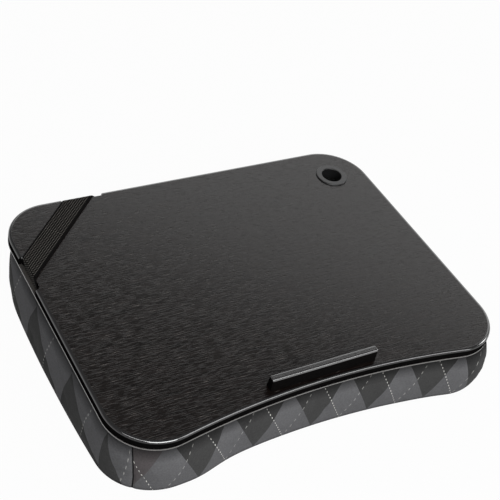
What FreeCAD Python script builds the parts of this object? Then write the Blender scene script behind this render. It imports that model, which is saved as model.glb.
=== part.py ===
import FreeCAD, Part
import math
import os

# Lap tray with a boxed, bead-filled cushion under a rounded board.
# Frame: origin at the middle of the underside, +X to the right, +Y to the back, +Z up. Millimetres.

# Board outline
tray_width = 451.0
tray_depth = 343.0
corner_radius = 52.0
front_arc_radius = 930.0

# Board, its wood-grain sheet and the backing panel under it
board_thickness = 10.0
rim_round = 3.0
board_lower_round = 1.0
sheet_thickness = 0.6
sheet_reveal = 0.4
panel_thickness = 2.0
panel_edge_round = 0.8

# Cushion cover and fill
cushion_height = 61.0
cover_thickness = 1.2
edge_round = 5.0
belly = 1.5
belly_height = 26.0
shoulder_height = 48.0
top_inset = 4.0
side_bow = 5.0
hem_width = 14.0
base_seam_height = 1.5
seam_turn = 50.0
fill_gap = 0.8
bolster_gap = 6.0

# Wire staples
staple_width = 10.0
staple_leg = 8.0
wire_width = 1.2
wire_thickness = 0.6
front_staple_count = 6
back_staple_count = 5
side_staple_count = 4
hem_staple_margin = 22.0

# Elastic strap across the back left corner
strap_width = 25.0
strap_thickness = 1.4
strap_reach = 97.0
strap_tail_length = 40.0
strap_clearance = 0.3
strap_staple_at = 24.0
strap_staple_spacing = 12.0
notch_depth = 5.0
notch_end_gap = 1.5
notch_round = 3.0

# Cable grommet
grommet_edge_distance = 46.5
grommet_bore = 24.0
grommet_barrel = 28.0
grommet_flange = 38.0
grommet_flange_height = 1.5
grommet_lip_round = 1.0
grommet_clearance = 0.2

# Device ledge
ledge_length = 124.0
ledge_front_gap = 6.0
ledge_base_depth = 9.5
ledge_height = 14.5
ledge_front_lean = 0.8
ledge_back_lean = 1.7
ledge_front_round = 2.2
ledge_back_round = 1.6
ledge_end_round = 1.2
ledge_wall = 1.8
ledge_groove_width = 0.7
ledge_groove_depth = 0.5
ledge_groove_setback = 3.2

# Screws
ledge_screw_spacing = 90.0
ledge_screw_diameter = 3.0
ledge_screw_bite = 8.0
ledge_boss_wall = 1.6
panel_screw_span_x = 300.0
panel_screw_span_y = 200.0
panel_screw_diameter = 3.5
panel_screw_bite = 6.5
screw_head_growth = 1.5
screw_clearance = 0.2

# Levels that follow from the sizes above
panel_bottom = cushion_height
board_bottom = panel_bottom + panel_thickness
board_top = board_bottom + board_thickness
sheet_bottom = board_top - sheet_thickness
fill_top = cushion_height - cover_thickness - wire_thickness - fill_gap

# Plan points that the outline is struck from
corner_x = tray_width / 2 - corner_radius
front_corner_y = -tray_depth / 2 + corner_radius
back_corner_y = tray_depth / 2 - corner_radius
front_arc_y = front_corner_y - math.sqrt((front_arc_radius + corner_radius) ** 2 - corner_x ** 2)
front_arc_turn = math.asin(corner_x / (front_arc_radius + corner_radius))
front_middle_y = front_arc_y + front_arc_radius

# Where the strap folds down at the edge, and its tucked-in ends
diagonal = math.sqrt(0.5)
strap_half_along_edge = strap_width * diagonal
strap_fold = notch_depth - strap_clearance - strap_thickness
strap_low = board_top + strap_clearance
strap_high = strap_low + strap_thickness
pocket_depth = strap_thickness + wire_thickness + 3 * strap_clearance
tail_high = board_bottom + pocket_depth - strap_clearance
tail_low = tail_high - strap_thickness
strap_drop = strap_high - tail_low
strap_near = strap_reach - strap_fold - strap_half_along_edge
strap_far = strap_reach - strap_fold + strap_half_along_edge

up = FreeCAD.Vector(0, 0, 1)
overcut = 1.0


def point(x, y, z=0.0):
    return FreeCAD.Vector(x, y, z)


def arc(start, middle, end):
    return Part.Arc(start, middle, end).toShape()


def side_edge(start, end, bow):
    # A straight side, or one that bows outwards by the given amount
    if bow == 0:
        return Part.LineSegment(start, end).toShape()
    along = (end - start).normalize()
    middle = (start + end) * 0.5 + point(along.y, -along.x) * bow
    return arc(start, middle, end)


def outline(inset=0.0, z=0.0, bow=0.0):
    # The tray's outline, drawn in by the inset; every arc keeps its centre. Bow swells the two sides.
    radius = corner_radius - inset

    def on_corner(side_x, centre_y, angle):
        return point(side_x * corner_x + radius * math.cos(angle), centre_y + radius * math.sin(angle), z)

    quarter = math.pi / 2
    front_left = -quarter + front_arc_turn
    front_right = -quarter - front_arc_turn
    corners = [
        (1, front_corner_y, front_right, 0.0),
        (1, back_corner_y, 0.0, quarter),
        (-1, back_corner_y, quarter, math.pi),
        (-1, front_corner_y, math.pi, 2 * math.pi + front_left),
    ]
    bows = {1: bow, 2: 0.0, 3: bow}
    front_middle = point(0, front_middle_y + inset, z)
    edges = [arc(on_corner(-1, front_corner_y, front_left), front_middle,
                 on_corner(1, front_corner_y, front_right))]
    for number, (side_x, centre_y, start, end) in enumerate(corners):
        if number > 0:
            before = corners[number - 1]
            edges.append(side_edge(on_corner(before[0], before[1], before[3]),
                                   on_corner(side_x, centre_y, start), bows[number]))
        edges.append(arc(on_corner(side_x, centre_y, start),
                         on_corner(side_x, centre_y, (start + end) / 2),
                         on_corner(side_x, centre_y, end)))
    return Part.Wire(edges)


def plate(inset, low, high):
    return Part.Face(outline(inset, low)).extrude(up * (high - low))


def polygon_prism(points, low, high):
    corners = [point(x, y, low) for x, y in points]
    return Part.Face(Part.makePolygon(corners + corners[:1])).extrude(up * (high - low))


def cylinder(diameter, x, y, low, high):
    return Part.makeCylinder(diameter / 2, high - low, point(x, y, low), up)


def level_edges(shape, z):
    # Edges that lie flat at one height
    return [edge for edge in shape.Edges
            if abs(edge.BoundBox.ZMin - z) < 1e-6 and abs(edge.BoundBox.ZMax - z) < 1e-6]


def group(solids):
    return Part.makeCompound(solids)


# Staples

def staple(x, y, turn, crown_low, spare=0.0):
    # A wire staple driven upwards: flat crown below, two legs; spare widens it to cut a clear hole
    width = wire_width + 2 * spare
    thick = wire_thickness + 2 * spare
    half = staple_width / 2
    solid = Part.makeBox(staple_width + 2 * spare, width, thick,
                         point(-half - spare, -width / 2, crown_low - spare))
    for left in (-half - spare, half - wire_thickness - spare):
        leg = Part.makeBox(thick, width, staple_leg + spare, point(left, -width / 2, crown_low))
        solid = solid.fuse(leg)
    solid = solid.removeSplitter()
    solid.rotate(point(0, 0), up, math.degrees(turn))
    solid.translate(point(x, y))
    return solid


def spread(count, low, high):
    step = (high - low) / (count - 1)
    return [low + step * number for number in range(count)]


def clear_of_strap(x, y):
    # Whether a staple here misses both tucked-in ends of the strap
    room = staple_width / 2 + strap_clearance
    left = x + tray_width / 2
    behind = tray_depth / 2 - y
    for in_from_edge, along_edge in ((left, behind), (behind, left)):
        run = in_from_edge - strap_fold
        start = along_edge - run - strap_drop
        beside = start < strap_near - room / diagonal or start > strap_far + room / diagonal
        if not beside and run < strap_tail_length * diagonal + room:
            return False
    return True


def cover_staple_places():
    # Along the middle of the turned-in hem, clear of the corner seams
    inset = top_inset + hem_width / 2
    reach = front_arc_turn - hem_staple_margin / front_arc_radius
    radius = front_arc_radius + inset
    places = [(radius * math.sin(turn), front_arc_y + radius * math.cos(turn), -turn)
              for turn in spread(front_staple_count, -reach, reach)]
    end_x = corner_x - hem_staple_margin
    places += [(x, tray_depth / 2 - inset, 0.0) for x in spread(back_staple_count, -end_x, end_x)]
    rows = spread(side_staple_count, front_corner_y + hem_staple_margin, back_corner_y - hem_staple_margin)
    for side_x in (-1, 1):
        places += [(side_x * (tray_width / 2 - inset), y, math.pi / 2) for y in rows]
    return [place for place in places if clear_of_strap(place[0], place[1])]


def cover_staples():
    crown_low = cushion_height - cover_thickness - wire_thickness
    return [staple(x, y, turn, crown_low) for x, y, turn in cover_staple_places()]


# Elastic strap: half of it is laid out at the left edge and mirrored across the corner's diagonal.
# In plan, a runs in from the left edge and b runs forwards from the back edge.


def corner_plan(a, b):
    return (-tray_width / 2 + a, tray_depth / 2 - b)


def mirrored(shape):
    # The same feature at the back edge
    return shape.mirror(point(-tray_width / 2, tray_depth / 2), point(1, 1))


def tail_plan(margin):
    run = strap_tail_length * diagonal + margin
    low = strap_near + strap_drop - margin / diagonal
    high = strap_far + strap_drop + margin / diagonal
    return [corner_plan(strap_fold, low), corner_plan(strap_fold, high),
            corner_plan(strap_fold + run, high + run), corner_plan(strap_fold + run, low + run)]


def strap_notch():
    # Room in the board's edge for the strap to go down, with rounded inner corners
    first_x, first_y = corner_plan(notch_depth, strap_far + strap_drop + notch_end_gap)
    last_y = corner_plan(notch_depth, strap_near - notch_end_gap)[1]
    height = board_thickness + 2 * overcut
    start = point(-tray_width / 2 - overcut, first_y, board_bottom - overcut)
    block = Part.makeBox(notch_depth + overcut, last_y - first_y, height, start)
    inner = [edge for edge in block.Edges
             if abs(edge.BoundBox.XMin - first_x) < 1e-6 and edge.BoundBox.ZLength > board_thickness]
    return block.makeFillet(notch_round, inner)


def strap_pocket():
    return polygon_prism(tail_plan(strap_clearance), board_bottom - overcut, board_bottom + pocket_depth)


def strap_staple_places():
    middle_b = (strap_near + strap_far) / 2 + strap_drop
    places = []
    for across in (-strap_staple_spacing / 2, strap_staple_spacing / 2):
        a = strap_fold + (strap_staple_at - across) * diagonal
        b = middle_b + (strap_staple_at + across) * diagonal
        x, y = corner_plan(a, b)
        places.append((x, y))
    return places


def strap_staples(spare=0.0):
    crown_low = tail_low - strap_clearance - wire_thickness
    left = [staple(x, y, math.pi / 4, crown_low, spare) for x, y in strap_staple_places()]
    return left + [mirrored(solid) for solid in left]


def elastic_strap():
    near_middle = (strap_reach - strap_half_along_edge) / 2
    far_middle = (strap_reach + strap_half_along_edge) / 2
    span = polygon_prism([corner_plan(strap_fold, strap_near), corner_plan(strap_fold, strap_far),
                          corner_plan(far_middle, far_middle), corner_plan(near_middle, near_middle)],
                         strap_low, strap_high)
    left, near_y = corner_plan(strap_fold, strap_near)
    far_y = corner_plan(strap_fold, strap_far)[1]
    drop_corners = [point(left, near_y, strap_high), point(left, far_y, strap_high),
                    point(left, far_y - strap_drop, tail_low), point(left, near_y - strap_drop, tail_low)]
    drop = Part.Face(Part.makePolygon(drop_corners + drop_corners[:1])).extrude(point(strap_thickness, 0))
    tail = polygon_prism(tail_plan(0.0), tail_low, tail_high)
    half = span.fuse([drop, tail])
    strap = half.fuse(mirrored(half))
    for hole in strap_staples(strap_clearance):
        strap = strap.cut(hole)
    return strap.removeSplitter()


# Screws

def screw(diameter, x, y, low, high):
    # Countersunk screw, head down and flush at the low end
    head = diameter / 2 + screw_head_growth
    cone = Part.makeCone(head, diameter / 2, screw_head_growth, point(x, y, low), up)
    return cone.fuse(cylinder(diameter, x, y, low, high)).removeSplitter()


ledge_back_y = front_middle_y + ledge_front_gap + ledge_base_depth
ledge_front_y = front_middle_y + ledge_front_gap
ledge_middle_y = (ledge_front_y + ledge_back_y) / 2


def ledge_screw_places():
    return [(side * ledge_screw_spacing / 2, ledge_middle_y) for side in (-1, 1)]


def ledge_screws():
    high = board_top + ledge_screw_bite
    return [screw(ledge_screw_diameter, x, y, board_bottom, high) for x, y in ledge_screw_places()]


def panel_screw_places():
    half_y = panel_screw_span_y / 2
    return [(x, y) for y in (-half_y, half_y) for x in spread(3, -panel_screw_span_x / 2, panel_screw_span_x / 2)]


def panel_screws():
    high = board_bottom + panel_screw_bite
    return [screw(panel_screw_diameter, x, y, panel_bottom, high) for x, y in panel_screw_places()]


# Cable grommet

grommet_x = tray_width / 2 - grommet_edge_distance
grommet_y = tray_depth / 2 - grommet_edge_distance


def grommet_hole():
    size = grommet_barrel + 2 * grommet_clearance
    return cylinder(size, grommet_x, grommet_y, panel_bottom - overcut, board_top + overcut)


def cable_grommet():
    top = board_top + grommet_flange_height
    body = cylinder(grommet_barrel, grommet_x, grommet_y, panel_bottom, top)
    body = body.fuse(cylinder(grommet_flange, grommet_x, grommet_y, board_top, top)).removeSplitter()
    body = body.cut(cylinder(grommet_bore, grommet_x, grommet_y, panel_bottom - overcut, top + overcut))
    return body.makeFillet(grommet_lip_round, level_edges(body, top))


# Board, sheet and panel

def tray_board():
    board = plate(0.0, board_bottom, board_top)
    board = board.makeFillet(rim_round, level_edges(board, board_top))
    board = board.makeFillet(board_lower_round, level_edges(board, board_bottom))
    recess = plate(rim_round + sheet_reveal, sheet_bottom, board_top + overcut)
    notch = strap_notch()
    pocket = strap_pocket()
    cuts = [recess, notch, mirrored(notch), pocket, mirrored(pocket), grommet_hole()]
    cuts += cover_staples() + strap_staples() + panel_screws()
    cuts += [screw(ledge_screw_diameter + 2 * screw_clearance, x, y, board_bottom, board_top + overcut)
             for x, y in ledge_screw_places()]
    return board.cut(cuts)


def wood_grain_sheet():
    sheet = plate(rim_round + sheet_reveal, sheet_bottom, board_top)
    notch = strap_notch()
    cuts = [notch, mirrored(notch), grommet_hole()]
    cuts += [cylinder(ledge_screw_diameter + 2 * screw_clearance, x, y, board_bottom, board_top + overcut)
             for x, y in ledge_screw_places()]
    return sheet.cut(cuts)


def backing_panel():
    panel = plate(0.0, panel_bottom, board_bottom)
    panel = panel.makeFillet(panel_edge_round, level_edges(panel, panel_bottom))
    return panel.cut([grommet_hole()] + cover_staples() + panel_screws())


# Device ledge

def rounded_wire(corners, rounds):
    # A closed polygon with the given round at each corner, 0 for a sharp one
    starts, edges = [], []
    count = len(corners)
    for number, corner in enumerate(corners):
        back = (corners[number - 1] - corner).normalize()
        ahead = (corners[(number + 1) % count] - corner).normalize()
        half_angle = back.getAngle(ahead) / 2
        reach = rounds[number] / math.tan(half_angle)
        enter, leave = corner + back * reach, corner + ahead * reach
        starts.append((enter, leave))
        if rounds[number] > 0:
            inwards = (back + ahead).normalize()
            middle = corner + inwards * (rounds[number] / math.sin(half_angle) - rounds[number])
            edges.append(arc(enter, middle, leave))
    for number in range(count):
        edges.append(Part.LineSegment(starts[number][1], starts[(number + 1) % count][0]).toShape())
    return Part.Wire(Part.__sortEdges__(edges))


def device_ledge():
    front_top = ledge_front_y + ledge_front_lean
    back_top = ledge_back_y - ledge_back_lean
    top = board_top + ledge_height
    left = -ledge_length / 2
    profile = rounded_wire([point(left, ledge_front_y, board_top), point(left, ledge_back_y, board_top),
                            point(left, back_top, top), point(left, front_top, top)],
                           [0, 0, ledge_back_round, ledge_front_round])
    bar = Part.Face(profile).extrude(point(ledge_length, 0))
    ends = [edge for edge in bar.Edges
            if edge.BoundBox.XLength < 1e-6 and edge.BoundBox.ZMax > board_top + 1e-6]
    bar = bar.makeFillet(ledge_end_round, ends)
    groove_y = front_top + ledge_groove_setback
    groove = Part.makeBox(ledge_length, ledge_groove_width, ledge_groove_depth + overcut,
                          point(left, groove_y, top - ledge_groove_depth))
    room = Part.makeBox(ledge_length - 2 * ledge_wall,
                        ledge_base_depth - ledge_front_lean - ledge_back_lean - 2 * ledge_wall,
                        ledge_height - ledge_wall + overcut,
                        point(left + ledge_wall, front_top + ledge_wall, board_top - overcut))
    for x, y in ledge_screw_places():
        boss = cylinder(ledge_screw_diameter + 2 * ledge_boss_wall, x, y, board_top - 2 * overcut, top)
        room = room.cut(boss)
    return bar.cut([groove, room] + ledge_screws())


# Cushion

def wall_stations(offset, low, high):
    # Height, inset and bow of the wall's sections, for a surface drawn in by the offset
    small = edge_round - offset
    bend = edge_round - small * diagonal
    return [
        (low, edge_round, side_bow * 0.8),
        (bend, bend, side_bow * 0.9),
        (edge_round, offset - belly / 2, side_bow),
        ((edge_round + belly_height) / 2, offset - belly * 0.9, side_bow),
        (belly_height, offset - belly, side_bow),
        (shoulder_height, offset + top_inset / 3, side_bow / 2),
        (high, offset + top_inset, 0.0),
    ]


def cushion_form(offset, low, high):
    wires = [outline(inset, z, bow) for z, inset, bow in wall_stations(offset, low, high)]
    return Part.makeLoft(wires, True, False)


def cover_shell():
    # The whole sewn cover: floor, walls and a hem turned in under the panel
    shell = cushion_form(0.0, 0.0, cushion_height)
    inner = cushion_form(cover_thickness, cover_thickness, cushion_height - cover_thickness)
    mouth = plate(top_inset + hem_width, cushion_height - cover_thickness - overcut, cushion_height + overcut)
    return shell.cut(inner).cut(mouth)


def seam_corner(side_x, side_y):
    # A corner's centre and a point far out along its seam
    turn = math.radians(seam_turn)
    centre_y = back_corner_y if side_y > 0 else front_corner_y
    centre = (side_x * corner_x, centre_y)
    return centre, (centre[0] + side_x * tray_width * math.cos(turn),
                    centre_y + side_y * tray_width * math.sin(turn))


def wall_zone(first, last):
    # The part of the plan between two corner seams
    start, start_out = seam_corner(*first)
    end, end_out = seam_corner(*last)
    return polygon_prism([start, start_out, end_out, end], base_seam_height, cushion_height + overcut)


def cover_panels():
    shell = cover_shell()
    holes = cover_staples()
    zones = {
        "cover_front_panel": ((-1, -1), (1, -1)),
        "cover_right_panel": ((1, -1), (1, 1)),
        "cover_back_panel": ((1, 1), (-1, 1)),
        "cover_left_panel": ((-1, 1), (-1, -1)),
    }
    panels = {name: shell.common(wall_zone(*ends)).cut(holes) for name, ends in zones.items()}
    below = Part.makeBox(2 * tray_width, 2 * tray_depth, base_seam_height + overcut,
                         point(-tray_width, -tray_depth, -overcut))
    panels["cover_base_panel"] = shell.common(below)
    return panels


def bolsters():
    # Two bead bags side by side fill the cover
    fill = cushion_form(cover_thickness + fill_gap, cover_thickness, fill_top)
    bags = {}
    for name, side_x in (("left_bolster", -1), ("right_bolster", 1)):
        start = point(bolster_gap / 2 if side_x > 0 else -tray_width, -tray_depth, 0)
        half = Part.makeBox(tray_width - (0 if side_x > 0 else bolster_gap / 2), 2 * tray_depth,
                            cushion_height, start)
        bags[name] = fill.common(half)
    return bags


def build():
    parts = {
        "tray_board": tray_board(),
        "wood_grain_sheet": wood_grain_sheet(),
        "backing_panel": backing_panel(),
        "cable_grommet": cable_grommet(),
        "device_ledge": device_ledge(),
        "ledge_screws": group(ledge_screws()),
        "panel_screws": group(panel_screws()),
        "elastic_strap": elastic_strap(),
        "strap_staples": group(strap_staples()),
        "cover_staples": group(cover_staples()),
    }
    parts.update(cover_panels())
    parts.update(bolsters())
    return parts


os.makedirs("parts", exist_ok=True)
for name, shape in build().items():
    print(name, "solids", len(shape.Solids), "valid", shape.isValid(), "volume", round(shape.Volume, 1))
    shape.exportStep(os.path.join("parts", name + ".step"))
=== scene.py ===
import math
import bmesh
import bpy
from mathutils import Matrix, Vector, noise
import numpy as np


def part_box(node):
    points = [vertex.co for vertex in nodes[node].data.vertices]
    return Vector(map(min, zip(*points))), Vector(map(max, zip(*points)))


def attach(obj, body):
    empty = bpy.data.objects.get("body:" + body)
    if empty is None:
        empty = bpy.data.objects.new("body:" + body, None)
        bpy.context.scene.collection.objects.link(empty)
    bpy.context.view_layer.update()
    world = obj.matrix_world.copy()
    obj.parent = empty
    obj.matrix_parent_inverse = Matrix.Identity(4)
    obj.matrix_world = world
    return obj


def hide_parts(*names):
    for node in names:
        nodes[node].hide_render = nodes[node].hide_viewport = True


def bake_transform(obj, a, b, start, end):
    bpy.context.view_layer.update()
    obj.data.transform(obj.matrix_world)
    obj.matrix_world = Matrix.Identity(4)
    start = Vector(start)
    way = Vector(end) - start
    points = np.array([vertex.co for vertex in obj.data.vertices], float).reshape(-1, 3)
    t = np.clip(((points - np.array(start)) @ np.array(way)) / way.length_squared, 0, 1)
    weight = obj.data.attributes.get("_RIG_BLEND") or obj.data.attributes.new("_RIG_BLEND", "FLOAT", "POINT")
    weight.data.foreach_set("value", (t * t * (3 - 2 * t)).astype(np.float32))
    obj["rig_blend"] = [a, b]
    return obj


# Lap tray on a bead cushion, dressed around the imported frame. Metres, +Z up, +Y to the back.
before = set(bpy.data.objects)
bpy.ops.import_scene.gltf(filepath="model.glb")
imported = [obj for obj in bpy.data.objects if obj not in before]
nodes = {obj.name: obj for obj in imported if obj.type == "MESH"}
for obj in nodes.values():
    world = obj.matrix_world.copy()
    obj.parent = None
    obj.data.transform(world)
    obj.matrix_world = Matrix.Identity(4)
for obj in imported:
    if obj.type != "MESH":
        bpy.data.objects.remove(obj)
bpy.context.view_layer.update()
mm = 0.001
boardLow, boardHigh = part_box("tray_board")
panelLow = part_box("backing_panel")[0]
print("frame loaded:", len(nodes), "nodes")

# The board's outline in plan, which the cushion follows
cornerRadius = 52 * mm
frontRadius = 930 * mm
seamTurn = math.radians(50)  # each corner seam, turned from the side towards the front or back
cornerX = boardHigh.x - cornerRadius
cornerY = boardHigh.y - cornerRadius
arcY = -cornerY - math.sqrt((frontRadius + cornerRadius) ** 2 - cornerX ** 2)
arcTurn = math.asin(cornerX / (frontRadius + cornerRadius))


def hexColour(text):
    # sRGB hex to the linear colour that sockets take
    parts = [int(text[i:i + 2], 16) / 255 for i in (1, 3, 5)]
    return [p / 12.92 if p <= 0.04045 else ((p + 0.055) / 1.055) ** 2.4 for p in parts] + [1]


def addNode(tree, kind, inputs=(), **settings):
    node = tree.nodes.new("ShaderNode" + kind)
    for name, value in settings.items():
        setattr(node, name, value)
    for socket, value in dict(inputs).items():
        if isinstance(value, bpy.types.NodeSocket):
            tree.links.new(value, node.inputs[socket])
        else:
            node.inputs[socket].default_value = value
    return node


def newMaterial(name, **sockets):
    # Constant values go straight onto the shader's own sockets
    material = bpy.data.materials.new(name)
    material.use_nodes = True
    shader = material.node_tree.nodes["Principled BSDF"]
    for socket, value in sockets.items():
        shader.inputs[socket.replace("_", " ")].default_value = value
    return material, material.node_tree, shader


def newPiece(name, bm, *materials):
    bmesh.ops.recalc_face_normals(bm, faces=bm.faces)
    mesh = bpy.data.meshes.new(name)
    bm.to_mesh(mesh)
    bm.free()
    for material in materials:
        mesh.materials.append(material)
    mesh.polygons.foreach_set("use_smooth", [True] * len(mesh.polygons))
    piece = bpy.data.objects.new(name, mesh)
    bpy.context.scene.collection.objects.link(piece)
    return piece


def dress(material, *names):
    for name in names:
        nodes[name].data.materials.clear()
        nodes[name].data.materials.append(material)


# Materials of the hard pieces

woodGrain = {
    "streak": (34 * mm, 1.6 * mm),      # length and width
    "pore": (12 * mm, 1.1 * mm),
    "sway": 1.8 * mm, "swayLength": 90 * mm,
    "ground": ("#080605", "#1d1715"), "poreGlint": "#645f5a",
    # Painted glints: pores painted pale, few at the back and right under the sheen, most at the front left
    "glintTowards": (-0.8, -0.6, 0), "glintFrom": -50 * mm, "glintTo": 200 * mm, "glintShare": (0.15, 0.9),
    "rough": (0.16, 0.26), "depth": 0.2 * mm,
}


def woodGrainFoil():
    # Embossed melamine foil in black: satin, with long open pores along X that catch the light, and pale
    # pores painted on as glints
    material, tree, shader = newMaterial("woodGrainFoil", IOR=1.5)
    coords = addNode(tree, "TexCoord").outputs["Object"]
    sway = addNode(tree, "TexNoise", {"Vector": coords, "Scale": 1 / woodGrain["swayLength"],
                                      "Detail": 1.0}).outputs["Color"]
    swayed = addNode(tree, "VectorMath", {0: sway, 1: (0, woodGrain["sway"], 0), 2: coords},
                     operation="MULTIPLY_ADD").outputs[0]
    figure = {}
    for name, detail, roughness in (("streak", 3.0, 0.65), ("pore", 1.5, 0.5)):
        length, width = woodGrain[name]
        laid = addNode(tree, "Mapping", {"Vector": swayed, "Scale": (1 / length, 1 / width, 1)}).outputs[0]
        figure[name] = addNode(tree, "TexNoise", {"Vector": laid, "Scale": 1.0, "Detail": detail,
                                                  "Roughness": roughness}).outputs[0]
    streak, pores = figure["streak"], figure["pore"]
    pit = addNode(tree, "MapRange", {"Value": pores, "From Min": 0.52, "From Max": 0.64}).outputs[0]
    # Painted glints: the share of pale pores grows towards the front left, where the top is dark
    side = addNode(tree, "VectorMath", {0: coords, 1: woodGrain["glintTowards"]},
                   operation="DOT_PRODUCT").outputs[1]
    share = addNode(tree, "MapRange", {"Value": side, "From Min": woodGrain["glintFrom"],
                                       "From Max": woodGrain["glintTo"], "To Min": woodGrain["glintShare"][0],
                                       "To Max": woodGrain["glintShare"][1]}).outputs[0]
    fleck = addNode(tree, "MapRange", {"Value": pores, "From Min": 0.66, "From Max": 0.76,
                                       "To Max": share}).outputs[0]
    tint = addNode(tree, "ValToRGB", {"Fac": streak})
    for element, place, colour in zip(tint.color_ramp.elements, (0.34, 0.7), woodGrain["ground"]):
        element.position = place
        element.color = hexColour(colour)
    glinted = addNode(tree, "Mix", {0: fleck, 6: tint.outputs[0], 7: hexColour(woodGrain["poreGlint"])},
                      data_type="RGBA")
    tree.links.new(glinted.outputs[2], shader.inputs["Base Color"])
    rough = addNode(tree, "MapRange", {"Value": streak, "From Min": 0.3, "From Max": 0.7,
                                       "To Min": woodGrain["rough"][0], "To Max": woodGrain["rough"][1]})
    tree.links.new(rough.outputs[0], shader.inputs["Roughness"])
    height = addNode(tree, "Math", {0: streak, 1: 0.5, 2: pit}, operation="MULTIPLY_ADD").outputs[0]
    bump = addNode(tree, "Bump", {"Height": height, "Strength": 0.4, "Distance": -woodGrain["depth"]})
    tree.links.new(bump.outputs[0], shader.inputs["Normal"])
    return material


lacquer = {
    "polish": (2.6 * mm, 0.9 * mm),     # below the board's top, where it begins and where it is full
    "peel": 3.5 * mm,
}


def sprayedLacquer():
    # Black nitro lacquer sprayed on fibreboard: a trace of orange peel, polished on the rim's round alone,
    # so that the rim has a bright line above a black edge
    material, tree, shader = newMaterial("sprayedLacquer", IOR=1.8)
    coords = addNode(tree, "TexCoord").outputs["Object"]
    height = addNode(tree, "SeparateXYZ", {0: coords}).outputs[2]
    polish = addNode(tree, "MapRange", {"Value": height, "From Min": boardHigh.z - lacquer["polish"][0],
                                        "From Max": boardHigh.z - lacquer["polish"][1]}).outputs[0]
    tree.links.new(polish, shader.inputs["Specular IOR Level"])
    peel = addNode(tree, "TexNoise", {"Vector": coords, "Scale": 1 / lacquer["peel"],
                                      "Detail": 2.0}).outputs[0]
    tint = addNode(tree, "Mix", {"Factor": peel, 6: hexColour("#070707"), 7: hexColour("#100f0f")},
                   data_type="RGBA")
    tree.links.new(tint.outputs[2], shader.inputs["Base Color"])
    rough = addNode(tree, "MapRange", {"Value": peel, "To Min": 0.1, "To Max": 0.18}).outputs[0]
    tree.links.new(rough, shader.inputs["Roughness"])
    bump = addNode(tree, "Bump", {"Height": peel, "Strength": 0.15, "Distance": 0.1 * mm})
    tree.links.new(bump.outputs[0], shader.inputs["Normal"])
    return material


def mouldedPlastic(name, colours, rough, grain, ior, polish=None):
    # Injection-moulded ABS: smooth skin with a fine spark-eroded grain, shiny where the tool was polished
    material, tree, shader = newMaterial(name, IOR=ior)
    coords = addNode(tree, "TexCoord").outputs["Object"]
    skin = addNode(tree, "TexNoise", {"Vector": coords, "Scale": 1 / grain, "Detail": 3.0}).outputs[0]
    tint = addNode(tree, "Mix", {"Factor": skin, 6: hexColour(colours[0]), 7: hexColour(colours[1])},
                   data_type="RGBA")
    tree.links.new(tint.outputs[2], shader.inputs["Base Color"])
    gloss = addNode(tree, "MapRange", {"Value": skin, "To Min": rough[0], "To Max": rough[1]}).outputs[0]
    tree.links.new(gloss, shader.inputs["Roughness"])
    if polish:
        height = addNode(tree, "SeparateXYZ", {0: coords}).outputs[2]
        shine = addNode(tree, "MapRange", {"Value": height, "From Min": polish[0], "From Max": polish[1]})
        tree.links.new(shine.outputs[0], shader.inputs["Specular IOR Level"])
    bump = addNode(tree, "Bump", {"Height": skin, "Strength": 0.2, "Distance": 0.08 * mm})
    tree.links.new(bump.outputs[0], shader.inputs["Normal"])
    return material


def stainedHardboard():
    # Pressed hardboard, stained dark and sealed: its shiny edge is the paler line under the rim
    material, tree, shader = newMaterial("stainedHardboard", IOR=2.0)
    coords = addNode(tree, "TexCoord").outputs["Object"]
    fibres = addNode(tree, "TexNoise", {"Vector": coords, "Scale": 1 / (2.5 * mm),
                                        "Detail": 6.0}).outputs[0]
    tint = addNode(tree, "Mix", {"Factor": fibres, 6: hexColour("#454341"), 7: hexColour("#605d5a")},
                   data_type="RGBA")
    tree.links.new(tint.outputs[2], shader.inputs["Base Color"])
    rough = addNode(tree, "MapRange", {"Value": fibres, "To Min": 0.12, "To Max": 0.28}).outputs[0]
    tree.links.new(rough, shader.inputs["Roughness"])
    bump = addNode(tree, "Bump", {"Height": fibres, "Strength": 0.3, "Distance": 0.1 * mm})
    tree.links.new(bump.outputs[0], shader.inputs["Normal"])
    return material


def zincPlatedSteel():
    # Bright zinc on steel wire and screws: a soft metal shine with faint cloudy stains
    material, tree, shader = newMaterial("zincPlatedSteel", Metallic=1.0)
    coords = addNode(tree, "TexCoord").outputs["Object"]
    cloud = addNode(tree, "TexNoise", {"Vector": coords, "Scale": 1 / (1.5 * mm), "Detail": 3.0}).outputs[0]
    tint = addNode(tree, "Mix", {"Factor": cloud, 6: hexColour("#b7b9bd"), 7: hexColour("#d4d5d6")},
                   data_type="RGBA")
    tree.links.new(tint.outputs[2], shader.inputs["Base Color"])
    rough = addNode(tree, "MapRange", {"Value": cloud, "To Min": 0.25, "To Max": 0.45}).outputs[0]
    tree.links.new(rough, shader.inputs["Roughness"])
    return material


dress(woodGrainFoil(), "wood_grain_sheet")
dress(sprayedLacquer(), "tray_board")
dress(stainedHardboard(), "backing_panel")
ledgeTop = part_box("device_ledge")[1].z
polishedAbs = mouldedPlastic("polishedAbs", ("#0a0909", "#121111"), (0.18, 0.26), 1.6 * mm, 2.0,
                             polish=(ledgeTop - 2.2 * mm, ledgeTop - 1.6 * mm))
dress(polishedAbs, "device_ledge")
dress(mouldedPlastic("satinAbs", ("#151516", "#1f1f20"), (0.28, 0.4), 0.9 * mm, 1.65), "cable_grommet")
dress(zincPlatedSteel(), "ledge_screws", "panel_screws", "strap_staples", "cover_staples")
print("hard pieces dressed")

# Fabrics

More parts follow.
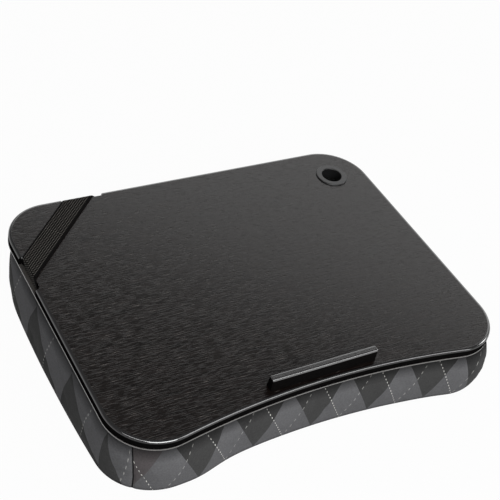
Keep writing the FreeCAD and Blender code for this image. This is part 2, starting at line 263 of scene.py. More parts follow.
argyle = {
    "lightTop": "#626264", "lightSide": "#5f5f61", "darkLow": "#414141", "darkSide": "#383838",
    "paintedLitDark": "#545051",  # the dark greys beside the front left seam, painted paler as painted light where the cloth turns towards the lamps
    "thread": "#c9c8c4",
    "cell": 61 * mm,          # on the front, from one lattice line to the next, square to it
    "side": 72.6 * mm,        # on the front, from one crossing to the next along a line
    "stitchWidth": 0.953 * mm,
    # Dashes of the overlines that run down to the right, and of those that run down to the left
    "leftLean": {"length": 1.96 * mm, "pitch": 5.117 * mm, "show": 1.0},
    "rightLean": {"length": 3.07 * mm, "pitch": 7.676 * mm, "show": 0.45},
    "weave": 1.7 * mm,        # real threads are about 0.5 mm, drawn coarser so that they show
    "fleck": 1.8 * mm, "melange": (0.86, 1.14),
    # Where little light gets: the place of the deepest shade, the place where it ends and the light that is
    # left. Up under the board and down where the wall turns under, the place is a depth below the board's
    # top, and in the corner seams, which are pulled in, the distance from the seam.
    "hemShade": (16 * mm, 30 * mm, 0.25), "footShade": (71 * mm, 65 * mm, 0.45),
    "seamShade": (0.35 * mm, 0.9 * mm, 0.04),
}


def argyleWeave():
    # Woven polyester with a jacquard argyle: flat greys, pale dashed overlines and a thread texture
    material, tree, shader = newMaterial("argyleWeave", IOR=1.2, Roughness=0.82)
    lattice = addNode(tree, "UVMap", uv_map="argyleMap").outputs[0]
    axes = addNode(tree, "SeparateXYZ", {0: lattice})
    leanRight, leanLeft = axes.outputs[0], axes.outputs[1]

    def parity(first, second, shift):
        # 0 or 1 in turn from cell to cell of the lattice
        cells = []
        for value in (first, second):
            moved = addNode(tree, "Math", {0: value, 1: shift}, operation="ADD").outputs[0]
            cells.append(addNode(tree, "Math", {0: moved}, operation="FLOOR").outputs[0])
        total = addNode(tree, "Math", {0: cells[0], 1: cells[1]}, operation="ADD").outputs[0]
        return addNode(tree, "Math", {0: total, 1: 2.0}, operation="FLOORED_MODULO").outputs[0]

    def dashes(across, along, dash):
        # Dashed line on the half cells of one axis
        part = addNode(tree, "Math", {0: across}, operation="FRACT").outputs[0]
        off = addNode(tree, "Math", {0: part, 1: 0.5}, operation="SUBTRACT").outputs[0]
        gap = addNode(tree, "Math", {0: off}, operation="ABSOLUTE").outputs[0]
        near = addNode(tree, "Math", {0: gap, 1: argyle["stitchWidth"] / 2 / argyle["cell"]},
                       operation="LESS_THAN").outputs[0]
        steps = addNode(tree, "Math", {0: along, 1: argyle["side"] / dash["pitch"]},
                        operation="MULTIPLY").outputs[0]
        beat = addNode(tree, "Math", {0: steps}, operation="FRACT").outputs[0]
        drawn = addNode(tree, "Math", {0: beat, 1: dash["length"] / dash["pitch"]},
                        operation="LESS_THAN").outputs[0]
        both = addNode(tree, "Math", {0: near, 1: drawn}, operation="MULTIPLY").outputs[0]
        return addNode(tree, "Math", {0: both, 1: dash["show"]}, operation="MULTIPLY").outputs[0]

    light = parity(leanRight, leanLeft, 0.0)
    over = parity(leanRight, leanLeft, 0.5)
    darks = [hexColour(argyle[name]) for name in ("darkSide", "darkLow", "paintedLitDark")]
    lights = [hexColour(argyle[name]) for name in ("lightTop", "lightSide")]
    dark = addNode(tree, "Mix", {0: over, 6: darks[0], 7: darks[1]}, data_type="RGBA").outputs[2]
    # Painted light: beside the front left seam the dark greys are lifted to a paler grey
    corner = addNode(tree, "Attribute", attribute_name="paintedLight").outputs["Fac"]
    dark = addNode(tree, "Mix", {0: corner, 6: dark, 7: darks[2]}, data_type="RGBA").outputs[2]
    pale = addNode(tree, "Mix", {0: over, 6: lights[0], 7: lights[1]}, data_type="RGBA").outputs[2]
    tone = addNode(tree, "Mix", {0: light, 6: dark, 7: pale}, data_type="RGBA").outputs[2]
    shown = addNode(tree, "Attribute", attribute_name="overline").outputs["Fac"]
    shift = addNode(tree, "Attribute", attribute_name="overlineShift").outputs["Fac"]
    moved = addNode(tree, "Math", {0: leanLeft, 1: shift}, operation="ADD").outputs[0]
    faint = addNode(tree, "Math", {0: dashes(moved, leanRight, argyle["leftLean"]), 1: shown},
                    operation="MULTIPLY").outputs[0]
    lines = addNode(tree, "Math", {0: dashes(leanRight, leanLeft, argyle["rightLean"]), 1: faint},
                    operation="MAXIMUM").outputs[0]
    stitched = addNode(tree, "Mix", {0: lines, 6: tone, 7: hexColour(argyle["thread"])},
                       data_type="RGBA").outputs[2]
    # Threads cross at right angles along the wall and up it
    threads = addNode(tree, "UVMap", uv_map="threadMap").outputs[0]
    thread = addNode(tree, "SeparateXYZ", {0: threads})
    waves = []
    for axis in (0, 1):
        turn = addNode(tree, "Math", {0: thread.outputs[axis], 1: math.tau / argyle["weave"]},
                       operation="MULTIPLY").outputs[0]
        waves.append(addNode(tree, "Math", {0: turn}, operation="SINE").outputs[0])
    weave = addNode(tree, "Math", {0: waves[0], 1: waves[1]}, operation="MULTIPLY").outputs[0]
    coords = addNode(tree, "TexCoord").outputs["Object"]
    fleck = addNode(tree, "TexNoise", {"Vector": coords, "Scale": 1 / argyle["fleck"],
                                       "Detail": 3.0}).outputs[0]
    melange = addNode(tree, "MapRange", {"Value": fleck, "From Min": 0.25, "From Max": 0.75,
                                         "To Min": argyle["melange"][0], "To Max": argyle["melange"][1]})
    cloth = addNode(tree, "VectorMath", {0: stitched, "Scale": melange.outputs[0]},
                    operation="SCALE").outputs[0]
    fromSeam = addNode(tree, "Attribute", attribute_name="fromSeam").outputs["Fac"]
    depth = thread.outputs[1]
    for place, shade in ((fromSeam, "seamShade"), (depth, "hemShade"), (depth, "footShade")):
        deepest, end, left = argyle[shade]
        lit = addNode(tree, "MapRange", {"Value": place, "From Min": deepest, "From Max": end,
                                         "To Min": left}).outputs[0]
        cloth = addNode(tree, "VectorMath", {0: cloth, "Scale": lit}, operation="SCALE").outputs[0]
    tree.links.new(cloth, shader.inputs["Base Color"])
    relief = addNode(tree, "Math", {0: weave, 1: 0.35, 2: fleck}, operation="MULTIPLY_ADD").outputs[0]
    raised = addNode(tree, "Math", {0: lines, 1: 0.8, 2: relief}, operation="MULTIPLY_ADD").outputs[0]
    bump = addNode(tree, "Bump", {"Height": raised, "Strength": 0.5, "Distance": 0.25 * mm})
    tree.links.new(bump.outputs[0], shader.inputs["Normal"])
    return material


def plainWeave(name, colours, pitch):
    # Plain woven cloth: matt, with a checked thread texture on the flat
    material, tree, shader = newMaterial(name, IOR=1.45, Roughness=0.85, Sheen_Weight=0.1)
    coords = addNode(tree, "TexCoord").outputs["Object"]
    place = addNode(tree, "SeparateXYZ", {0: coords})
    waves = []
    for axis in (0, 1):
        turn = addNode(tree, "Math", {0: place.outputs[axis], 1: math.tau / pitch},
                       operation="MULTIPLY").outputs[0]
        waves.append(addNode(tree, "Math", {0: turn}, operation="SINE").outputs[0])
    weave = addNode(tree, "Math", {0: waves[0], 1: waves[1]}, operation="MULTIPLY").outputs[0]
    fleck = addNode(tree, "TexNoise", {"Vector": coords, "Scale": 1 / (2 * mm), "Detail": 4.0}).outputs[0]
    tint = addNode(tree, "Mix", {"Factor": fleck, 6: hexColour(colours[0]), 7: hexColour(colours[1])},
                   data_type="RGBA")
    tree.links.new(tint.outputs[2], shader.inputs["Base Color"])
    bump = addNode(tree, "Bump", {"Height": weave, "Strength": 0.5, "Distance": 0.2 * mm})
    tree.links.new(bump.outputs[0], shader.inputs["Normal"])
    return material


# Cushion cover

cover = {
    "top": panelLow.z - 0.3 * mm,
    "edgeRound": 5 * mm,       # where the wall turns under
    "belly": 1.5 * mm,
    "sideBow": 4 * mm,         # how far the two sides swell in their middle
    # Where the fill has settled outwards or inwards, along a panel: depth, place and width
    "lobes": {"front": (5.5 * mm, -142 * mm, 32 * mm), "left": (-4 * mm, -126 * mm, 22 * mm)},
    # How far each corner stands out at its foot, half-way up and at its top
    "cornerSwell": {(-1, -1): (0, 0, 0), (1, -1): (1 * mm, 7 * mm, 1 * mm),
                    (-1, 1): (-4 * mm, -6 * mm, -2 * mm), (1, 1): (-3 * mm, -3 * mm, 0)},
    "cornerReach": 32 * mm,
    "tuckFrom": 0.4, "topInset": 4.5 * mm,   # share of the height from which it is tucked in, and how far
    "hem": 0.5 * mm,           # held under the board
    "baseSeam": 1.5 * mm, "baseSeamReach": 2 * mm, "baseSeamDepth": 0.8 * mm,
    # Columns of the mesh along each stretch of the outline, and its rings up the wall
    "steps": {"corner": 9, "backCorner": 7, "front": 56, "side": 44, "back": 60},
    "wallStep": 4 * mm, "roundRings": 4,
    "seamWidth": 1.5 * mm,
    "seamDepth": 1.8 * mm,
    "seamLean": (math.radians(3.4), math.radians(-9.8)),   # turn at the base, and the change up to the top
    "puckerDepth": 0.9 * mm, "puckerReach": 15 * mm, "puckerPitch": 11 * mm, "puckerShift": 3 * mm,
    "foldDepth": 0.9 * mm, "foldSize": 42 * mm, "foldStretch": 0.45,   # longer up the wall than along it
    "pressure": 2.5, "frames": 20, "cap": 4 * mm, "extraCloth": -0.006,
}

# How the argyle lies on each panel: period along the wall, lean of its two sets of lines, a point where
# two edges cross, with its distance along the wall from the middle and below the board's top, and how
# plainly the overlines show that run down to the right. The left panel is drawn askew up to its corner.
# Beside the front left seam the overlines are moved and the dark greys are painted paler, as painted light
# on the cloth that turns towards the lamps, and towards the front right seam the lines that run down to the
# right are drawn more upright.
leftCornerFrom = 129 * mm    # places along a wall from which, or up to which, a corner has its own lay
frontLeftTo = -172 * mm
frontRightFrom = 169.5 * mm
plainLay = {"period": 69.5 * mm, "leanLeft": 0.545, "leanRight": 0.545, "swap": 0, "overline": 1.0}
frontLay = {**plainLay, "crossing": (-38.5 * mm, 4.5 * mm)}
argyleLay = {
    "front": frontLay,
    "frontLeft": {**frontLay, "overlineShift": 13 * mm, "paintedLight": 1.0},
    "frontRight": {**frontLay, "leanLeft": 0.3},
    "left": {"period": 95 * mm, "leanLeft": 1.8, "leanRight": 0.1, "crossing": (50 * mm, 21 * mm),
             "swap": 1, "overline": 0.0},
    "leftCorner": {"period": 65 * mm, "leanLeft": 0.48, "leanRight": 0.2, "crossing": (131 * mm, 17 * mm),
                   "swap": 1, "overline": 0.0},
    "right": {**plainLay, "crossing": (20 * mm, 4.5 * mm)},
    "back": {**plainLay, "crossing": (0.0, 4.5 * mm)},
}


def cornerTurn(point):
    # Angle about the nearest corner's centre, from the side towards the front or back
    return math.atan2(abs(point.y) - cornerY, abs(point.x) - cornerX)


def wallPlace(point):
    # Panel, distance along it to the right as seen from outside, and outward direction, for a place in plan
    sideX = 1 if point.x > 0 else -1
    sideY = 1 if point.y > 0 else -1
    turn = cornerTurn(point)
    lastTurn = math.pi / 2 + (arcTurn if sideY < 0 else 0)
    outward = Vector((sideX * math.cos(turn), sideY * math.sin(turn), 0))
    if turn < seamTurn:
        reach = cornerY + cornerRadius * turn if turn > 0 else abs(point.y)
        if turn <= 0:
            outward = Vector((sideX, 0, 0))
        return ("right" if sideX > 0 else "left"), sideX * sideY * reach, outward
    if turn < lastTurn:
        straight = cornerX if sideY > 0 else frontRadius * arcTurn
        along = sideX * (straight + cornerRadius * (lastTurn - turn))
    elif sideY > 0:
        along, outward = point.x, Vector((0, 1, 0))
    else:
        along = frontRadius * math.atan2(point.x, point.y - arcY)
        outward = Vector((-point.x, arcY - point.y, 0)).normalized()
    return ("back" if sideY > 0 else "front"), -sideY * along, outward


def argylePlace(lay, along, down):
    # Place on the argyle's lattice: whole numbers are edges between the greys
    across, drop = along - lay["crossing"][0], down - lay["crossing"][1]
    return ((across + lay["leanRight"] * drop) / lay["period"] + lay["swap"],
            (across - lay["leanLeft"] * drop) / lay["period"])


def outlineLoop(bm, seamStep):
    # Spun and extruded from one vertex at the front left seam, anticlockwise, with a narrow column on
    # either side of each seam
    steps = cover["steps"]
    narrow = seamStep / cornerRadius
    quarter = math.pi / 2
    corner = Vector((-cornerX, -cornerY, 0))
    start = corner + cornerRadius * Vector((-math.cos(seamTurn), -math.sin(seamTurn), 0))
    vert = bm.verts.new(start)

    def spun(vert, centre, angle, count):
        made = bmesh.ops.spin(bm, geom=[vert], cent=centre, axis=(0, 0, 1), angle=angle, steps=count)
        return [item for item in made["geom_last"] if isinstance(item, bmesh.types.BMVert)][0]

    def straight(vert, end, count):
        step = (end - vert.co) / count
        for _ in range(count):
            made = bmesh.ops.extrude_vert_indiv(bm, verts=[vert])
            vert = made["verts"][0]
            bmesh.ops.translate(bm, verts=[vert], vec=step)
        return vert

    def fromSeam(vert, centre, angle, count):
        vert = spun(vert, centre, narrow, 1)
        return spun(vert, centre, angle - narrow, count)

    def toSeam(vert, centre, angle, count):
        vert = spun(vert, centre, angle - narrow, count)
        return spun(vert, centre, narrow, 1)

    frontTurn = quarter + arcTurn - seamTurn
    backTurn = quarter - seamTurn
    vert = fromSeam(vert, corner, frontTurn, steps["corner"])
    vert = spun(vert, (0, arcY, 0), -2 * arcTurn, steps["front"])
    corner = Vector((cornerX, -cornerY, 0))
    vert = toSeam(vert, corner, frontTurn, steps["corner"])
    vert = fromSeam(vert, corner, seamTurn, steps["corner"])
    vert = straight(vert, Vector((boardHigh.x, cornerY, 0)), steps["side"])
    corner = Vector((cornerX, cornerY, 0))
    vert = toSeam(vert, corner, seamTurn, steps["corner"])
    vert = fromSeam(vert, corner, backTurn, steps["backCorner"])
    vert = straight(vert, Vector((-cornerX, boardHigh.y, 0)), steps["back"])
    corner = Vector((-cornerX, cornerY, 0))
    vert = toSeam(vert, corner, backTurn, steps["backCorner"])
    vert = fromSeam(vert, corner, seamTurn, steps["corner"])
    vert = straight(vert, Vector((boardLow.x, -cornerY, 0)), steps["side"])
    corner = Vector((-cornerX, -cornerY, 0))
    toSeam(vert, corner, seamTurn, steps["corner"])
    bmesh.ops.remove_doubles(bm, verts=bm.verts, dist=0.01 * mm)


def fillAcross(bm, edges):
    # Quads from the front panel's edge to the back panel's
    ends = []
    for edge in edges:
        middle = (edge.verts[0].co + edge.verts[1].co) / 2
        if wallPlace(middle)[0] in ("front", "back"):
            ends.append(edge)
    return bmesh.ops.grid_fill(bm, edges=ends)["faces"]


def tuckRise(z):
    # 0 up to where the wall starts to tuck in under the board, and 1 at its top
    start = cover["tuckFrom"]
    return max(0, z / cover["top"] - start) / (1 - start)


def wallInset(z):
    # How far the wall stands in from the board's outline at a height
    inset = -cover["belly"]
    low = cover["edgeRound"]
    if z < low:
        inset += low - math.sqrt(max(low ** 2 - (low - z) ** 2, 0))
    return inset + (cover["belly"] + cover["topInset"]) * tuckRise(z) ** 2


def wallSwell(point, z):
    # How far the fill pushes the wall out, most of all low down
    panel, along, _ = wallPlace(point)
    swell = 0
    if panel in ("left", "right"):
        swell = cover["sideBow"] * max(0, 1 - (along / cornerY) ** 2)
    if panel in cover["lobes"]:
        depth, place, width = cover["lobes"][panel]
        swell += depth * math.exp(-((along - place) / width) ** 2)
    foot, middle, head = cover["cornerSwell"][(1 if point.x > 0 else -1, 1 if point.y > 0 else -1)]
    fromSeam = (cornerTurn(point) - seamTurn) * cornerRadius
    up = z / cover["top"]
    corner = foot * (1 - up) * (1 - 2 * up) + middle * 4 * up * (1 - up) + head * up * (2 * up - 1)
    return swell * (1 - tuckRise(z)) + corner * math.exp(-(fromSeam / cover["cornerReach"]) ** 2)


def coverMesh():
    # A ring of the outline, drawn up ring by ring and filled below and on top
    bm = bmesh.new()
    downLayer = bm.verts.layers.float.new("down")
    seamLayer = bm.verts.layers.float.new("fromSeam")
    outlineLoop(bm, cover["seamWidth"])
    baseRing = ring = list(bm.edges)
    angles = [math.pi / 2 * i / cover["roundRings"] for i in range(cover["roundRings"] + 1)]
    heights = [cover["edgeRound"] * (1 - math.cos(angle)) for angle in angles]
    count = round((cover["top"] - heights[-1]) / cover["wallStep"])
    heights += [heights[-1] + (cover["top"] - heights[-1]) * (i + 1) / count for i in range(count)]
    rings = [sorted({vert for edge in ring for vert in edge.verts}, key=lambda vert: vert.index)]
    for low, high in zip(heights, heights[1:]):
        made = bmesh.ops.extrude_edge_only(bm, edges=ring)["geom"]
        verts = {item for item in made if isinstance(item, bmesh.types.BMVert)}
        bmesh.ops.translate(bm, verts=list(verts), vec=(0, 0, high - low))
        ring = [item for item in made if isinstance(item, bmesh.types.BMEdge) and set(item.verts) <= verts]
        rings.append(list(verts))
    down = boardHigh.z - cover["top"]
    for number in reversed(range(len(rings))):
        inset = wallInset(heights[number])
        if number + 1 < len(rings):
            above = heights[number + 1]
            down += math.hypot(above - heights[number], wallInset(above) - inset)
        for vert in rings[number]:
            vert[downLayer] = down
            vert[seamLayer] = abs(cornerTurn(vert.co) - seamTurn) * cornerRadius
            vert.co -= wallPlace(vert.co)[2] * (inset - wallSwell(vert.co, heights[number]))
    return bm, set(fillAcross(bm, baseRing)) | set(fillAcross(bm, ring))


def mapFabric(bm, plainFaces):
    # Each panel has its own lie of the pattern, so the map breaks at the seams
    downLayer = bm.verts.layers.float["down"]
    argyleMap = bm.loops.layers.uv.new("argyleMap")
    threadMap = bm.loops.layers.uv.new("threadMap")
    overline = bm.faces.layers.float.new("overline")
    overlineShift = bm.faces.layers.float.new("overlineShift")
    paintedLight = bm.faces.layers.float.new("paintedLight")
    for face in bm.faces:
        middle = face.calc_center_median()
        plain = face in plainFaces
        panel, along, _ = wallPlace(middle)
        if panel == "left" and along > leftCornerFrom:
            panel = "leftCorner"
        if panel == "front" and along < frontLeftTo:
            panel = "frontLeft"
        if panel == "front" and along > frontRightFrom:
            panel = "frontRight"
        lay = argyleLay[panel]
        face[overline] = lay["overline"]
        face[overlineShift] = lay.get("overlineShift", 0) / lay["period"]
        # Painted light on the dark greys beside the front left seam
        face[paintedLight] = lay.get("paintedLight", 0)
        face.material_index = 1 if plain or middle.z < cover["baseSeam"] else 0
        for loop in face.loops:
            co = loop.vert.co
            if plain:
                loop[threadMap].uv = (co.x, co.y)
                continue
            # A corner of the face lies on its own panel, also where it is on the seam
            inside = co + (middle - co) * 0.02
            along = wallPlace(inside)[1]
            loop[argyleMap].uv = argylePlace(lay, along, loop.vert[downLayer])
            loop[threadMap].uv = (along, loop.vert[downLayer])


def leanSeams(bm):
    # Each corner is turned about its centre, less and less away from the seam
    base, change = cover["seamLean"]
    for vert in bm.verts:
        away = abs(cornerTurn(vert.co) - seamTurn) / (math.pi / 2 - seamTurn)
        if away < 1:
            sideX = 1 if vert.co.x > 0 else -1
            sideY = 1 if vert.co.y > 0 else -1
            angle = (base + change * (vert.co.z / cover["top"]) ** 2) * (1 - away)
            centre = Vector((sideX * cornerX, sideY * cornerY, 0))
            vert.co = centre + Matrix.Rotation(sideX * sideY * angle, 3, "Z") @ (vert.co - centre)


def sortCover(bm):
    # Extruded edges and faces come in a new order each run, and the cloth's result depends on that order
    bm.verts.index_update()
    count = len(bm.verts)

    def rank(item):
        numbers = [vert.index for vert in item.verts]
        return (min(numbers) * count + max(numbers)) * count + sum(numbers) % count

    bm.edges.sort(key=rank)
    bm.faces.sort(key=rank)


def simulateCover(piece):
    # The fill presses on the sewn cover, which is held at its top hem and round its lower edge
    scene = bpy.context.scene
    pins = piece.vertex_groups.new(name="held")
    held = [v.index for v in piece.data.vertices
            if v.co.z > cover["top"] - cover["hem"] or v.co.z < cover["edgeRound"] + 0.1 * mm]
    pins.add(held, 1.0, "REPLACE")
    cloth = piece.modifiers.new("Cloth", "CLOTH")
    settings = cloth.settings
    settings.quality = 6
    settings.mass = 0.25
    settings.tension_stiffness = settings.compression_stiffness = 12
    settings.shear_stiffness = 4
    settings.bending_stiffness = 0.3
    settings.use_pressure = True
    settings.uniform_pressure_force = cover["pressure"]
    settings.shrink_min = cover["extraCloth"]
    settings.vertex_group_mass = pins.name
    settings.effector_weights.gravity = 0
    for number in range(1, cover["frames"] + 1):
        scene.frame_set(number)
    pressed = piece.evaluated_get(bpy.context.evaluated_depsgraph_get()).data
    moved = [vert.co.copy() for vert in pressed.vertices]
    piece.modifiers.remove(cloth)
    scene.frame_set(1)
    largest = 0
    for vert, place in zip(piece.data.vertices, moved):
        move = place - vert.co
        largest = max(largest, move.length)
        if move.length > cover["cap"]:
            move *= cover["cap"] / move.length
        vert.co += move
        vert.co.z = max(vert.co.z, 0)
    print("cover pressed out, furthest move", round(largest / mm, 1), "mm")


def sewCover(piece):
    # Creases at the corner seams and the base seam, puckers beside them and soft folds between
    seams = piece.data.attributes["fromSeam"].data
    for vert in piece.data.vertices:
        co = vert.co
        if co.z < 0.01 * mm or co.z > cover["top"] - cover["hem"]:
            continue
        outward = wallPlace(co)[2]
        sideY = 1 if co.y > 0 else -1
        fromSeam = seams[vert.index].value
        free = math.sin(math.pi * min(co.z / cover["top"], 1))
        folded = Vector((co.x, co.y, co.z * cover["foldStretch"])) / cover["foldSize"]
        fold = noise.noise(folded) * cover["foldDepth"]
        pucker = 0
        if fromSeam < cover["puckerReach"]:
            near = 1 - fromSeam / cover["puckerReach"]
            wave = math.sin(math.tau * (co.z + sideY * cover["puckerShift"]) / cover["puckerPitch"])
            pucker = cover["puckerDepth"] * near * (0.6 * wave - 0.4)
            if fromSeam < cover["seamWidth"] / 2:
                pucker -= cover["seamDepth"]
        nearBase = max(0, 1 - abs(co.z - cover["baseSeam"]) / cover["baseSeamReach"])
        crease = nearBase * cover["baseSeamDepth"]
        vert.co = co + outward * (fold * free + pucker * (0.4 + 0.6 * free) - crease)


def makeCover(wallFabric, baseFabric):
    bm, plainFaces = coverMesh()
    mapFabric(bm, plainFaces)
    leanSeams(bm)
    sortCover(bm)
    piece = newPiece("cushion_cover", bm, wallFabric, baseFabric)
    simulateCover(piece)
    sewCover(piece)
    smooth = piece.modifiers.new("Subdivision", "SUBSURF")
    smooth.levels = smooth.render_levels = 1
    smooth.uv_smooth = "NONE"
    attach(piece, "tray")
    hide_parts("cover_front_panel", "cover_left_panel", "cover_right_panel", "cover_back_panel",
                "cover_base_panel")


makeCover(argyleWeave(), plainWeave("plainWovenPolyester", ("#1f1f21", "#313133"), 1.6 * mm))
print("cushion cover made")

# Bead bags inside the cover

beadBag = {"gap": 5 * mm, "clear": 12 * mm, "cornerRound": 60 * mm, "edgeRound": 17 * mm}


def makeBeadBag(name, node, fabric):
    # A box with rounded corners that leaves room all round for the cover
    low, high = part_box(node)
    side = 1 if high.x > -low.x else -1
    clear = beadBag["clear"]
    front = arcY + frontRadius + clear
    inner = side * beadBag["gap"]
    outer = (high.x if side > 0 else low.x) - side * clear
    size = Vector((abs(outer - inner), high.y - clear - front, high.z - low.z - clear))
    middle = Vector(((inner + outer) / 2, (high.y - clear + front) / 2, (low.z + high.z) / 2))
    bm = bmesh.new()
    bmesh.ops.create_cube(bm, size=1, matrix=Matrix.Translation(middle) @ Matrix.Diagonal((*size, 1)))
    upright = [e for e in bm.edges if abs(e.verts[0].co.z - e.verts[1].co.z) > size.z / 2]
    bmesh.ops.bevel(bm, geom=upright, offset=beadBag["cornerRound"], affect="EDGES", segments=6,
                    profile=0.5, material=-1)
    rim = [e for e in bm.edges if abs(e.verts[0].co.z - e.verts[1].co.z) < 0.1 * mm]
    bmesh.ops.bevel(bm, geom=rim, offset=beadBag["edgeRound"], affect="EDGES", segments=4,
                    profile=0.5, material=-1)
    piece = newPiece(name, bm, fabric)
    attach(piece, "tray")
    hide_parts(node)


linerFabric = plainWeave("bleachedLinerCotton", ("#d6d4ce", "#e4e2dc"), 1.2 * mm)
makeBeadBag("bead_bag_left", "left_bolster", linerFabric)
makeBeadBag("bead_bag_right", "right_bolster", linerFabric)
print("bead bags made")

# Elastic strap across the back left corner

strap = {
    "width": 25 * mm, "thickness": 1.2 * mm,
    "reach": 97 * mm,          # from the corner to the strap's middle, along either edge
    "tail": 40 * mm,           # tucked in under the board
    "bend": 0.9 * mm,          # where it folds over the edge, at half its thickness
    "rib": 2.4 * mm,           # real ribs are about 1 mm, drawn coarser so that they show
    "sharpFrom": math.radians(50),
    "segments": (110, 18),     # along one half and across
}


def elasticWebbing():
    # Woven elastic: fine ribs and a dotted mesh in dull black, with denser selvages
    material, tree, shader = newMaterial("elasticWebbing", IOR=1.15, Roughness=0.78)
    place = addNode(tree, "SeparateXYZ", {0: addNode(tree, "UVMap", uv_map="webbingMap").outputs[0]})
    along, across = place.outputs[0], place.outputs[1]
    waves = []
    for value in (along, across):
        turn = addNode(tree, "Math", {0: value, 1: math.tau / strap["rib"]},
                       operation="MULTIPLY").outputs[0]
        wave = addNode(tree, "Math", {0: turn}, operation="SINE").outputs[0]
        rib = addNode(tree, "MapRange", {"Value": wave, "From Min": -0.3, "From Max": 0.5}).outputs[0]
        waves.append(rib)
    knit = addNode(tree, "Math", {0: waves[0], 1: waves[1]}, operation="MULTIPLY").outputs[0]
    fromMiddle = addNode(tree, "Math", {0: across}, operation="ABSOLUTE").outputs[0]
    edge = addNode(tree, "MapRange", {"Value": fromMiddle, "From Min": strap["width"] / 2 - 2.2 * mm,
                                      "From Max": strap["width"] / 2 - 1.6 * mm}).outputs[0]
    mesh = addNode(tree, "Mix", {0: knit, 6: hexColour("#0b0a0a"), 7: hexColour("#625f5b")},
                   data_type="RGBA").outputs[2]
    tone = addNode(tree, "Mix", {0: edge, 6: mesh, 7: hexColour("#0b0a0a")}, data_type="RGBA").outputs[2]
    tree.links.new(tone, shader.inputs["Base Color"])
    bump = addNode(tree, "Bump", {"Height": knit, "Strength": 0.6, "Distance": 0.3 * mm})
    tree.links.new(bump.outputs[0], shader.inputs["Normal"])
    return material


def makeStrapHalf(name, material, atBack):
    # A flat strip, laid at 45 degrees in from the left edge and folded over it. The half at the back is
    # its mirror image.
    low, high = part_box("elastic_strap")
    half = strap["thickness"] / 2
    topZ, tailZ = high.z - half, low.z + half
    bend = strap["bend"]
    foldAt = low.x - boardLow.x + half + bend
    arc = bend * math.pi / 2
    drop = topZ - tailZ - 2 * bend
    cadDrop = high.z - low.z + 2 * (half + bend)   # how far it drifts along the edge as it goes down
    wallRun = cadDrop - 2 * arc                    # strip between the two folds
    middle = strap["reach"] / 2
    tailEnd = foldAt - cadDrop - strap["tail"] * math.sqrt(0.5)
    length = (middle - tailEnd) * math.sqrt(2)
    bm = bmesh.new()
    columns, rows = strap["segments"]
    bmesh.ops.create_grid(bm, x_segments=columns, y_segments=rows, size=0.5)
    webbingMap = bm.loops.layers.uv.new("webbingMap")
    bmesh.ops.scale(bm, verts=bm.verts, vec=(length, strap["width"], 1))
    for face in bm.faces:
        for loop in face.loops:
            loop[webbingMap].uv = (loop.vert.co.x + length / 2, loop.vert.co.y)
    bmesh.ops.translate(bm, verts=bm.verts, vec=(-length / 2, 0, 0))
    bmesh.ops.rotate(bm, verts=bm.verts, cent=(0, 0, 0), matrix=Matrix.Rotation(math.radians(45), 3, "Z"))
    bmesh.ops.translate(bm, verts=bm.verts, vec=(middle, -middle, 0))
    for vert in bm.verts:
        run, edge = vert.co.x, vert.co.y
        past = foldAt - run
        z = topZ
        if past > cadDrop:
            run, z = foldAt + past - cadDrop, tailZ
        elif past > arc + wallRun:
            angle = (past - arc - wallRun) / bend
            run, z = foldAt - bend * math.cos(angle), tailZ + bend * (1 - math.sin(angle))
        elif past > arc:
            run, z = foldAt - bend, topZ - bend - drop * (past - arc) / wallRun
        elif past > 0:
            run, z = foldAt - bend * math.sin(past / bend), topZ - bend * (1 - math.cos(past / bend))
        if atBack:
            vert.co = (boardLow.x - edge, boardHigh.y - run, z)
        else:
            vert.co = (boardLow.x + run, boardHigh.y + edge, z)
    bmesh.ops.recalc_face_normals(bm, faces=bm.faces)
    bm.normal_update()
    for vert, place in [(vert, vert.co + vert.normal * half) for vert in bm.verts]:
        vert.co = place
    bmesh.ops.solidify(bm, geom=bm.faces, thickness=strap["thickness"])
    for edge in bm.edges:
        edge.smooth = edge.calc_face_angle(0) < strap["sharpFrom"]
    piece = newPiece(name, bm, material)
    middlePlace = Vector((boardLow.x + middle, boardHigh.y - middle, topZ))
    away = Vector((1, 1, 0)) if atBack else Vector((-1, -1, 0))
    edgePlace = middlePlace + away * (middle - foldAt - strap["width"] / 2 * math.sqrt(0.5))
    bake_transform(piece, "tray", "strap", start=edgePlace, end=middlePlace)
    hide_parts("elastic_strap")


webbing = elasticWebbing()
makeStrapHalf("elastic_strap_left", webbing, False)
makeStrapHalf("elastic_strap_back", webbing, True)
print("strap made")

# Studio

studio = {
    "floorSize": 30.0, "floorDrop": 0.3 * mm, "floorWhite": 0.97, "floorPaint": "#b8b8b7",
    "horizon": 0.45, "zenith": 0.12,
}


def seenDirectly(tree):
    # 1 for the rays that show the background itself: camera, glossy and transmission
    path = addNode(tree, "LightPath")
    both = addNode(tree, "Math", {0: path.outputs["Is Camera Ray"], 1: path.outputs["Is Glossy Ray"]},
                   operation="MAXIMUM").outputs[0]
    return addNode(tree, "Math", {0: both, 1: path.outputs["Is Transmission Ray"]},
                   operation="MAXIMUM").outputs[0]


def makeFloor():
    bm = bmesh.new()
    bmesh.ops.create_grid(bm, x_segments=1, y_segments=1, size=studio["floorSize"] / 2,
                          matrix=Matrix.Translation((0, 0, -studio["floorDrop"])))
    material = bpy.data.materials.new("paleFloor")
    material.use_nodes = True
    tree = material.node_tree
    tree.nodes.clear()
    paint = addNode(tree, "BsdfDiffuse", {"Color": hexColour(studio["floorPaint"])}).outputs[0]
    white = addNode(tree, "Emission", {"Color": (1, 1, 1, 1), "Strength": 1.0}).outputs[0]
    share = addNode(tree, "Math", {0: seenDirectly(tree), 1: studio["floorWhite"]}, operation="MULTIPLY")
    mixed = addNode(tree, "MixShader", {0: share.outputs[0], 1: paint, 2: white}).outputs[0]
    addNode(tree, "OutputMaterial", {"Surface": mixed})
    floor = newPiece("floor", bm, material)


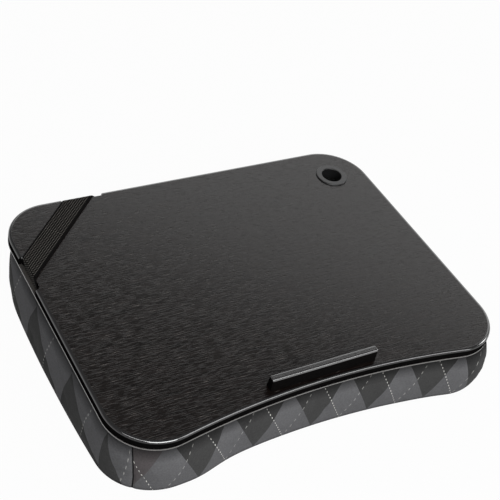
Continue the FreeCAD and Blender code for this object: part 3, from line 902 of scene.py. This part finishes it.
def makeWorld():
    # Pale at the horizon and dimmer overhead
    world = bpy.data.worlds.new("studioWorld")
    bpy.context.scene.world = world
    world.use_nodes = True
    tree = world.node_tree
    up = addNode(tree, "SeparateXYZ", {0: addNode(tree, "TexCoord").outputs["Generated"]}).outputs[2]
    level = addNode(tree, "MapRange", {"Value": up, "From Min": 0.0, "From Max": 0.6,
                                       "To Min": studio["horizon"], "To Max": studio["zenith"]}).outputs[0]
    tree.links.new(level, tree.nodes["Background"].inputs["Strength"])
    tree.nodes["Background"].inputs["Color"].default_value = (1, 1, 1, 1)


lamps = {
    "keyLamp": {"place": (-0.1, -1.7, 1.45), "size": (1.7, 1.0), "power": 35},
    "glintLamp": {"place": (1.0, -1.4, 1.25), "size": (0.35, 1.2), "power": 3.2},     # rim along the front
    "sheenLamp": {"place": (1.8, 1.95, 1.45), "size": (4.0, 1.6), "power": 23.5},     # top of the board
    "turnLamp": {"place": (-1.0, -0.72, 1.55), "size": (1.1, 0.35), "power": 4.5},    # front left corner
    "cornerLamp": {"place": (1.82, -0.45, 1.05), "size": (0.4, 0.5), "power": 6.0},   # front right corner
}


def makeLamp(name, setting):
    light = bpy.data.lights.new(name, "AREA")
    light.shape = "RECTANGLE"
    light.size, light.size_y = setting["size"]
    light.energy = setting["power"]
    lamp = bpy.data.objects.new(name, light)
    bpy.context.scene.collection.objects.link(lamp)
    lamp.location = setting["place"]
    lamp.rotation_euler = (-Vector(setting["place"])).to_track_quat("-Z", "Y").to_euler()


camera = {
    "place": (-0.5500, -0.6908, 0.8646),
    "turn": (48.38, -10.64, -28.63),   # degrees about X, Y and Z
    "lens": 79.92, "sensor": 36.0,     # millimetres
    "shift": 0.003,                    # upwards, as a share of the picture
}


def makeCamera():
    data = bpy.data.cameras.new("camera")
    data.lens = camera["lens"]
    data.sensor_width = camera["sensor"]
    data.shift_y = camera["shift"]
    piece = bpy.data.objects.new("camera", data)
    bpy.context.scene.collection.objects.link(piece)
    piece.location = camera["place"]
    piece.rotation_euler = [math.radians(angle) for angle in camera["turn"]]
    bpy.context.scene.camera = piece


makeFloor()
makeWorld()
for lampName, lampSetting in lamps.items():
    makeLamp(lampName, lampSetting)
makeCamera()
bpy.context.scene.view_settings.view_transform = "Standard"
print("studio set")
